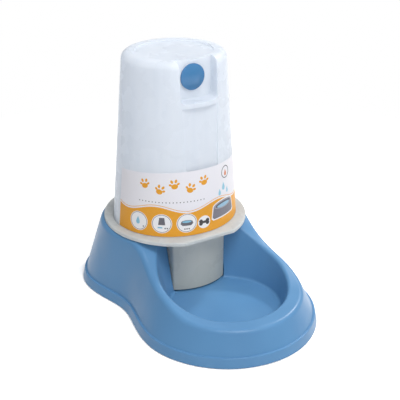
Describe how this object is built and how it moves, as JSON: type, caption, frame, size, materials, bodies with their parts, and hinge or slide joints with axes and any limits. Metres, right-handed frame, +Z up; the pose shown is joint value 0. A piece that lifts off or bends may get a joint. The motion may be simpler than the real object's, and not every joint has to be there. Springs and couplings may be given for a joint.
{
  "type": "pet water dispenser",
  "caption": "Gravity-fed pet water dispenser: upturned translucent tank with a filling stopper, seated on a waisted base with a round drinking bowl.",
  "frame": {"origin": "on the floor, below the centre of the whole object's box", "axes": "+Z up, the bowl faces -Y and the tank stands on the +Y side, +X to the right seen from the front"},
  "size_m": [0.2666, 0.405, 0.36],
  "materials": {
    "base_plastic": "glossy blue moulded polypropylene",
    "foot_rubber": "matt soft rubber",
    "tank_plastic": "satin translucent natural polypropylene",
    "flange_plastic": "satin pale translucent polypropylene",
    "seal_rubber": "soft pale silicone rubber",
    "label_film": "printed adhesive film, pale with an amber band",
    "stopper_plastic": "glossy blue moulded plastic"
  },
  "bodies": {
    "base": {"base": "base_plastic", "foot_front_left": "foot_rubber", "foot_front_right": "foot_rubber", "foot_rear_left": "foot_rubber", "foot_rear_right": "foot_rubber"},
    "tank": {"tank": "tank_plastic", "tank_floor": "flange_plastic", "neck": "flange_plastic", "tank_gasket": "seal_rubber", "label": "label_film"},
    "stopper": {"stopper": "stopper_plastic", "stopper_seal": "seal_rubber"}
  },
  "joints": [
    {"name": "tank_lift", "type": "slide", "parent": "base", "child": "tank", "axis": [0, 0, 1], "range_m": [0, 0.12]},
    {"name": "stopper_pull", "type": "slide", "parent": "tank", "child": "stopper", "axis": [0, -1, 0], "range_m": [0, 0.03]}
  ]
}
